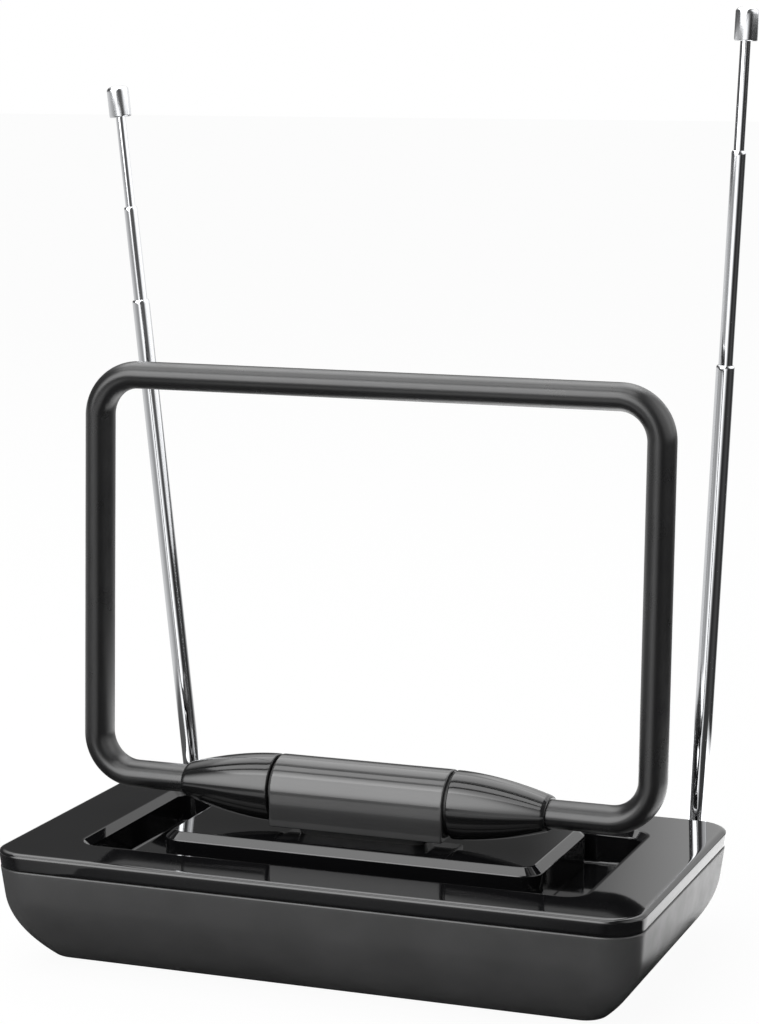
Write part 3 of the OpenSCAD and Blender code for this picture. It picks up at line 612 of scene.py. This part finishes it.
class ANTENNA_OT_housing(bpy.types.Operator):
    """Builds the housing on the tilt axis, rounded above and flat below, with its neck"""
    bl_idname = "antenna.housing"
    bl_label = "Spindle housing"

    def execute(self, context):
        b, c = context.scene.antenna_base, context.scene.antenna_centre
        axis = spindle_place().translation
        radius, half = c.housing_radius, c.housing_length / 2

        blunt, cut = 0.9 * MM, 0.3 * MM     # the two lower corners, each rounded by two flats

        def section(x, t):
            """The housing's section at x, t inside its surface."""
            arc = [(cos(pi * k / 48) * (radius - t), sin(pi * k / 48) * (radius - t))
                   for k in range(49)]
            low = t - c.housing_below
            sides = [(t - radius, -BESIDE), (t - radius, low + blunt),
                     (t - radius + cut, low + cut), (t - radius + blunt, low)]
            loop = arc + sides + [(-y, z) for y, z in reversed(sides)]
            return [Vector((x, axis.y + y, axis.z + z)) for y, z in loop]

        e = 0.5 * MM    # rounding of the housing's ends
        rings = [section(-half, e + BESIDE)]
        rings += [section(-half + e * (1 - cs), e * (1 - s)) for s, cs in quarter(4)]
        rings += [section(-half + e + BESIDE, 0), section(half - e - BESIDE, 0)]
        rings += [section(half - e * (1 - cs), e * (1 - s)) for s, cs in quarter(4, pi / 2, 0)]
        rings += [section(half, e + BESIDE)]
        foot, bottom = b.height + c.platform_rise, axis.z - c.housing_below + 1 * MM
        neck = [outline(c.neck_width - 2 * t, c.neck_depth - 2 * t, 4 * MM, z, axis.y, 12)
                for z, t in ((foot, c.neck_draft), (bottom, 0))]
        piece = skinned("housing_barrel", rings, neck)
        dress(piece, "housing", "base", "spindle_housing")
        return {'FINISHED'}


class ANTENNA_OT_cones(bpy.types.Operator):
    """Builds the two cones, round beside the housing and oval where the loop leaves them"""
    bl_idname = "antenna.cones"
    bl_label = "Cones"

    def execute(self, context):
        c = context.scene.antenna_centre
        start = c.housing_length / 2 + c.joint
        e = 0.5 * MM    # rounding of each cone's ends

        def section(side, t, inset, shift=0.0):
            """A cone's section at t of its length, inset by that much and shifted outward."""
            full = 1 - max(0.0, t) ** c.fullness
            tall = c.tip_height / 2 + (c.cone_radius - c.tip_height / 2) * full - inset
            deep = c.tip_depth / 2 + (c.cone_radius - c.tip_depth / 2) * full - inset
            x = side * (start + c.cone_length * t + shift)
            return [Vector((x, deep * sin(2 * pi * k / TURN), tall * cos(2 * pi * k / TURN)))
                    for k in range(TURN)]

        steps = 40
        for name, side in (("left", -1), ("right", 1)):
            rings = [section(side, 0, e + BESIDE)]
            rings += [section(side, 0, e * (1 - s), e * (1 - cs)) for s, cs in quarter(4)]
            rings += [section(side, k / steps, 0) for k in range(2, steps)]
            rings += [section(side, 1, e * (1 - cs), -e * (1 - s)) for s, cs in quarter(4)]
            rings += [section(side, 1, e + 0.3 * MM)]
            piece = skinned(name + "_cone_body", rings, place=spindle_place())
            dress(piece, "housing", "loop", name + "_cone", look="cones")
        return {'FINISHED'}


class ANTENNA_OT_loop(bpy.types.Operator):
    """Builds the loop: an oval tube bent to a rectangle, with its ends in the cones"""
    bl_idname = "antenna.loop"
    bl_label = "Loop"

    def execute(self, context):
        c = context.scene.antenna_centre
        half, bend, high = c.loop_width / 2, c.loop_bend, c.loop_height
        inner = c.housing_length / 2 + c.joint + c.cone_length - c.socket + 0.1 * MM
        steps = 28
        path = [(inner, 0.0, 0.0)]
        for cx, cz, first in ((half - bend, bend, -pi / 2), (half - bend, high - bend, 0),
                              (bend - half, high - bend, pi / 2), (bend - half, bend, pi)):
            for k in range(-1, steps + 2):
                a = first + pi / 2 * min(max(k, 0), steps) / steps
                along = BESIDE * (-1 if k < 0 else 1 if k > steps else 0)
                path.append((cx + bend * cos(a) - along * sin(a),
                             cz + bend * sin(a) + along * cos(a), a + pi / 2))
        path.append((-inner, 0.0, 2 * pi))

        def section(x, z, heading):
            """The tube's oval around a point of its path."""
            ring = []
            for k in range(64):
                a = 2 * pi * k / 64
                across = c.tube_width / 2 * cos(a)
                ring.append(Vector((x - across * sin(heading), c.tube_depth / 2 * sin(a),
                                    z + across * cos(heading))))
            return ring

        piece = skinned("loop_bow", [section(*p) for p in path], place=spindle_place())
        dress(piece, "loop", "loop", "loop_tube")
        return {'FINISHED'}


# The outside of a tube's rolled lip: millimetres in from its wall, and down from its end
ROLLED_LIP = ((0, 1.6), (0, 0.85), (0.03, 0.6), (0.10, 0.36), (0.22, 0.14), (0.36, 0.02),
              (0.45, 0))


class ANTENNA_OT_rods(bpy.types.Operator):
    """Builds the tubes, inner rods and caps of the two telescopic rods"""
    bl_idname = "antenna.rods"
    bl_label = "Telescopic rods"

    def execute(self, context):
        r = context.scene.antenna_rods

        def tube(z0, z1, od, slides):
            """Half section of a tube from z0 to z1, its lip rolled in around what slides."""
            rad, hole = od / 2, slides / 2 + r.fit
            bore = rad - r.wall
            rolled = [(rad - inward * MM, z1 - down * MM) for inward, down in ROLLED_LIP]
            return [(bore, z0), (rad - 0.1 * MM, z0), (rad, z0 + 0.15 * MM), *rolled,
                    (hole, z1), (hole, z1 - r.lip), (bore, z1 - r.lip - 0.3 * MM)]

        for side in ("left", "right"):
            place = rod_place(side)
            outer = getattr(r, side + "_outer")
            middle = outer + getattr(r, side + "_middle")
            inner = middle + getattr(r, side + "_inner")
            piece = turned(side + "_outer_barrel",
                           tube(r.start, outer, r.outer, r.middle), place, True)
            dress(piece, "chrome", side + "_rod", side + "_outer_tube")
            piece = turned(side + "_middle_barrel",
                           tube(middle - r.middle_length, middle, r.middle, r.inner), place, True)
            dress(piece, "chrome", side + "_middle", side + "_middle_tube")
            rad, foot = r.inner / 2, inner - r.inner_length
            end = inner + r.cap_length - 4 * MM
            profile = [(0, foot), (rad - 0.2 * MM, foot), (rad, foot + 0.2 * MM),
                       (rad, end), (0, end)]
            piece = turned(side + "_inner_core", profile, place, False)
            dress(piece, "chrome", side + "_tip", side + "_inner_rod")
            rad, top = r.cap / 2, inner + r.cap_length
            hole, roof = r.inner / 2 + 0.02 * MM, top - 3.98 * MM
            edge, crown_in, crown_up = 0.5 * MM, 2.2 * MM, 1.6 * MM
            profile = [(0, roof), (hole, roof), (hole, inner), (rad - edge, inner)]
            profile += [(rad - edge * (1 - s), inner + edge * (1 - cs))
                        for s, cs in quarter(5)][1:]
            profile += [(rad, top - crown_up - 0.6 * MM)]
            profile += [(rad - crown_in * (1 - cs), top - crown_up * (1 - s))
                        for s, cs in quarter(10)]
            profile += [(0, top)]
            piece = turned(side + "_end_cap", profile, place, False)
            dress(piece, "chrome", side + "_tip", side + "_tip_cap", look="caps")
        return {'FINISHED'}


class ANTENNA_OT_fittings(bpy.types.Operator):
    """Gives the fittings that keep their CAD shape the finish of their slot"""
    bl_idname = "antenna.fittings"
    bl_label = "Fittings"

    def execute(self, context):
        slots = {part["node"]: part["material_slot"] for part in frame["record"]["subparts"]}
        looks = finishes()
        for name, node in frame["nodes"].items():
            if not node.material_slots:
                node.data.materials.append(looks[slots[name]])
            for slot in node.material_slots:
                slot.material = looks[slots[name]]
        return {'FINISHED'}


# The camera, fitted to the photo: its place in millimetres, its turns in radians and its focal
# length in pixels of the photo's height
CAMERA_PLACE = (319.5953, -860.5153, 288.7332)
CAMERA_YAW, CAMERA_PITCH, CAMERA_ROLL = 0.3521409, 0.1513222, 0.0058726
FOCAL_PIXELS, PHOTO_HEIGHT = 2833.407, 1024
SENSOR = 36     # millimetres

# What the antenna mirrors. Azimuths run in degrees from the back toward +X.
# The studio: its level all around, and lighter patches on it, each with its azimuth, elevation,
# the angles from its middle at which it starts and ends to fade, and its level
AMBIENT = 0.105
PATCHES = (
    (205, 24, 10, 42, 4.2),
    (205, 30, -14, 30, 1.6),
    (25, 18, 36, 40.5, 0.92),
    (-25, 50, 10, 35, 1.8),
    (80, 28, 12, 46, 1.3),
)
SOFTER = 0.4    # share of those levels that falls on the antenna as plain light
# Painted reflection, seen only in what the antenna mirrors of the floor beside it and far from it: azimuths with
# the painted tone there
NEAR_PAINTED_REFLECTION = ((0, 0.95), (82, 0.92), (90, 0.02), (138, 0.02), (155, 0.42), (170, 0.5), (212, 0.5),
              (235, 0.04), (320, 0.04), (345, 0.75), (360, 0.95))
FAR_PAINTED_REFLECTION = ((0, 0.4), (20, 0.24), (40, 0.03), (54, 0.02), (86, 0.05), (125, 0.016),
             (137, 0.07), (148, 0.42), (160, 0.95), (174, 1.0), (187, 0.95), (198, 0.4),
             (213, 0.22), (241, 0.33), (276, 0.5), (310, 0.55), (360, 0.4))
# Levels of the painted reflection: a gain on the near tones, which lifts them above white, and the painted glow of
# the far floor, which is no lamp
NEAR_PAINTED_GAIN, FAR_PAINTED_GLOW = 2.0, 1.35
NEAR_TO_FAR = (0.31, 0.37)      # distances between which the one gives way to the other
# Painted shade on the floor close to the base's front, seen only in reflections: two distances from it, and the
# tones there
PAINTED_SHADE_BY_BASE = (0.03, 0.16, 0.0, 1.15)
FLOOR_LIFT = 0.95   # share of plain white in what the camera sees of the floor

# Soft boxes overhead, which face down: name, place, width, depth and power in watts
LAMPS = (
    ("back box", (-0.4, 0.74, 1.3), 1.4, 0.95, 6.0),
    ("middle box", (-0.4, -0.09, 1.3), 1.4, 0.50, 7.8),
    ("front box", (-0.4, -0.74, 1.3), 1.4, 0.53, 8.0),
)


class ANTENNA_OT_stage(bpy.types.Operator):
    """Sets up the camera, the pale floor, the lamps and the studio around them"""
    bl_idname = "antenna.stage"
    bl_label = "Studio"

    def execute(self, context):
        scene = context.scene
        scene.view_settings.view_transform = 'Standard'
        self.camera(scene)
        self.floor(scene)
        self.world(scene)
        self.lamps(scene)
        return {'FINISHED'}

    def camera(self, scene):
        """A long lens in front and a little to the right, looking slightly down."""
        yaw, pitch, roll = CAMERA_YAW, CAMERA_PITCH, CAMERA_ROLL
        ahead = Vector((-sin(yaw) * cos(pitch), cos(yaw) * cos(pitch), -sin(pitch)))
        right = Vector((cos(yaw), sin(yaw), 0))
        up = right.cross(ahead)
        x = right * cos(roll) + up * sin(roll)
        y = up * cos(roll) - right * sin(roll)
        data = bpy.data.cameras.new("camera")
        data.sensor_fit, data.sensor_height = 'VERTICAL', SENSOR
        data.lens = FOCAL_PIXELS * SENSOR / PHOTO_HEIGHT
        data.clip_start, data.clip_end = 0.05, 50
        camera = bpy.data.objects.new("camera", data)
        place = Matrix((x, y, -ahead)).transposed().to_4x4()
        place.translation = Vector(CAMERA_PLACE) * MM
        camera.matrix_world = place
        scene.collection.objects.link(camera)
        scene.camera = camera

    def floor(self, scene):
        """A wide pale floor, lifted to white for the camera, that keeps a soft shadow.

        What the antenna mirrors of it is painted reflection: glossy rays see grey tones painted
        by the direction from the antenna, like the sheets and dark gaps of a studio, a painted
        glow far from it, and painted shade close to the base's front.
        """
        bm = bmesh.new()
        bmesh.ops.create_grid(bm, x_segments=1, y_segments=1, size=20)
        floor = add_piece("floor", bm)
        finish, tree, shader, place = new_finish("pale floor")
        colour = tuple(scene.antenna_finish.floor)
        tree.links.new(blend_colour(tree, grain(tree, place, 0.4), shade(colour, 0.99), colour),
                       shader.inputs['Base Color'])
        shader.inputs['Roughness'].default_value = 0.9

        split = tree.nodes.new('ShaderNodeSeparateXYZ')
        tree.links.new(place, split.inputs[0])
        turn = calculate(tree, 'ARCTAN2', split.outputs['X'], split.outputs['Y'])
        turn = calculate(tree, 'FRACT', calculate(tree, 'DIVIDE', turn, 2 * pi))
        reach = tree.nodes.new('ShaderNodeVectorMath')
        reach.operation = 'LENGTH'
        tree.links.new(place, reach.inputs[0])
        # Painted reflection close by: a diffuse floor, seen only by glossy rays, coloured with grey tones painted
        # by direction, raised above white and darkened by painted shade near the base's front
        painted_near = tree.nodes.new('ShaderNodeBsdfDiffuse')
        tone = tree.nodes.new('ShaderNodeVectorMath')
        tone.operation = 'SCALE'
        # Painted shade: the reflected floor darker close to the base's front, at full tone beside and behind the
        # base
        front = calculate(tree, 'ADD', split.outputs['Y'], scene.antenna_base.depth / 2)
        start, end, dark, full = PAINTED_SHADE_BY_BASE
        painted_shade = between(tree, front, dark, full, -start, -end)
        beside = calculate(tree, 'GREATER_THAN', calculate(tree, 'ABSOLUTE', split.outputs['X']),
                           scene.antenna_base.width / 2)
        behind = calculate(tree, 'GREATER_THAN', front, scene.antenna_base.depth)
        painted_shade = calculate(tree, 'MAXIMUM', painted_shade, calculate(tree, 'MAXIMUM', beside, behind))
        tree.links.new(calculate(tree, 'MULTIPLY', painted_shade, NEAR_PAINTED_GAIN), tone.inputs['Scale'])
        tree.links.new(tones(tree, turn, NEAR_PAINTED_REFLECTION), tone.inputs[0])
        tree.links.new(tone.outputs[0], painted_near.inputs['Color'])
        # Painted reflection far away: the floor glows in grey tones painted by direction, though it is no lamp
        far = tree.nodes.new('ShaderNodeEmission')
        far.inputs['Strength'].default_value = FAR_PAINTED_GLOW
        tree.links.new(tones(tree, turn, FAR_PAINTED_REFLECTION), far.inputs['Color'])
        away = between(tree, reach.outputs['Value'], 0.0, 1.0, *NEAR_TO_FAR)
        painted_reflection = mixed(tree, away, painted_near, far)

        path = tree.nodes.new('ShaderNodeLightPath')
        white = tree.nodes.new('ShaderNodeEmission')
        lift = calculate(tree, 'MULTIPLY', path.outputs['Is Camera Ray'], FLOOR_LIFT)
        lifted = mixed(tree, lift, shader, white)
        whole = mixed(tree, path.outputs['Is Glossy Ray'], lifted, painted_reflection)
        output = next(n for n in tree.nodes if n.type == 'OUTPUT_MATERIAL')
        tree.links.new(whole.outputs[0], output.inputs['Surface'])
        floor.data.materials.append(finish)

    def world(self, scene):
        """White for the camera; for everything else a soft studio with lighter patches."""
        world = bpy.data.worlds.new("studio")
        world.use_nodes = True
        scene.world = world
        tree = world.node_tree
        tree.nodes.clear()
        facing = tree.nodes.new('ShaderNodeTexCoord').outputs['Generated']
        total = None
        for azimuth, elevation, inner, outer, peak in PATCHES:
            a, e = radians(azimuth), radians(elevation)
            dot = tree.nodes.new('ShaderNodeVectorMath')
            dot.operation = 'DOT_PRODUCT'
            dot.inputs[1].default_value = (sin(a) * cos(e), cos(a) * cos(e), sin(e))
            tree.links.new(facing, dot.inputs[0])
            carry = tree.nodes.new('ShaderNodeMapRange')
            carry.interpolation_type = 'SMOOTHSTEP'
            ends = {'From Min': cos(radians(outer)), 'From Max': cos(radians(inner)),
                    'To Min': 0.0, 'To Max': peak}
            for socket, value in ends.items():
                carry.inputs[socket].default_value = value
            tree.links.new(dot.outputs['Value'], carry.inputs['Value'])
            total = calculate(tree, 'ADD', carry.outputs[0], AMBIENT if total is None else total)
        path = tree.nodes.new('ShaderNodeLightPath')
        share = between(tree, path.outputs['Is Glossy Ray'], SOFTER, 1.0, 0.0, 1.0)
        total = calculate(tree, 'MULTIPLY', total, share)
        level = tree.nodes.new('ShaderNodeMix')
        level.data_type = 'FLOAT'
        level.inputs[3].default_value = 1.0
        tree.links.new(path.outputs['Is Camera Ray'], level.inputs[0])
        tree.links.new(total, level.inputs[2])
        background = tree.nodes.new('ShaderNodeBackground')
        background.inputs['Color'].default_value = (1, 1, 1, 1)
        output = tree.nodes.new('ShaderNodeOutputWorld')
        tree.links.new(level.outputs[0], background.inputs['Strength'])
        tree.links.new(background.outputs[0], output.inputs[0])

    def lamps(self, scene):
        """Soft boxes, which the camera itself doesn't see."""
        for name, place, wide, deep, power in LAMPS:
            data = bpy.data.lights.new(name, 'AREA')
            data.shape, data.size, data.size_y, data.energy = 'RECTANGLE', wide, deep, power
            lamp = bpy.data.objects.new(name, data)
            lamp.location = place
            lamp.visible_camera = False
            scene.collection.objects.link(lamp)


GROUPS = {"antenna_base": AntennaBase, "antenna_centre": AntennaCentre,
          "antenna_rods": AntennaRods, "antenna_finish": AntennaFinish}
CLASSES = (
    *GROUPS.values(),
    ANTENNA_OT_stage, ANTENNA_OT_casing, ANTENNA_OT_cover, ANTENNA_OT_platform,
    ANTENNA_OT_housing, ANTENNA_OT_cones, ANTENNA_OT_loop, ANTENNA_OT_rods,
    ANTENNA_OT_fittings,
)
STEPS = [c.bl_idname for c in CLASSES if issubclass(c, bpy.types.Operator)]


class ANTENNA_PT_sidebar(bpy.types.Panel):
    """Lists the antenna's operators, sizes and colours in the sidebar"""
    bl_idname = "ANTENNA_PT_sidebar"
    bl_label = "Antenna"
    bl_space_type = 'VIEW_3D'
    bl_region_type = 'UI'
    bl_category = "Antenna"

    def draw(self, context):
        column = self.layout.column()
        for step in STEPS:
            column.operator(step)
        for group in GROUPS:
            box = self.layout.box()
            values = getattr(context.scene, group)
            for name in values.bl_rna.properties.keys():
                if name not in {"name", "rna_type"}:
                    box.prop(values, name)


def register():
    """Makes the sizes, colours, operators and sidebar known to Blender."""
    for c in (*CLASSES, ANTENNA_PT_sidebar):
        bpy.utils.register_class(c)
    for name, group in GROUPS.items():
        setattr(bpy.types.Scene, name, PointerProperty(type=group))


def unregister():
    """Takes them out again."""
    for name in GROUPS:
        delattr(bpy.types.Scene, name)
    for c in reversed((*CLASSES, ANTENNA_PT_sidebar)):
        bpy.utils.unregister_class(c)


def main():
    """Runs every step."""
    register()
    for step in STEPS:
        group, name = step.split(".")
        getattr(getattr(bpy.ops, group), name)()


if __name__ == "__main__":
    main()
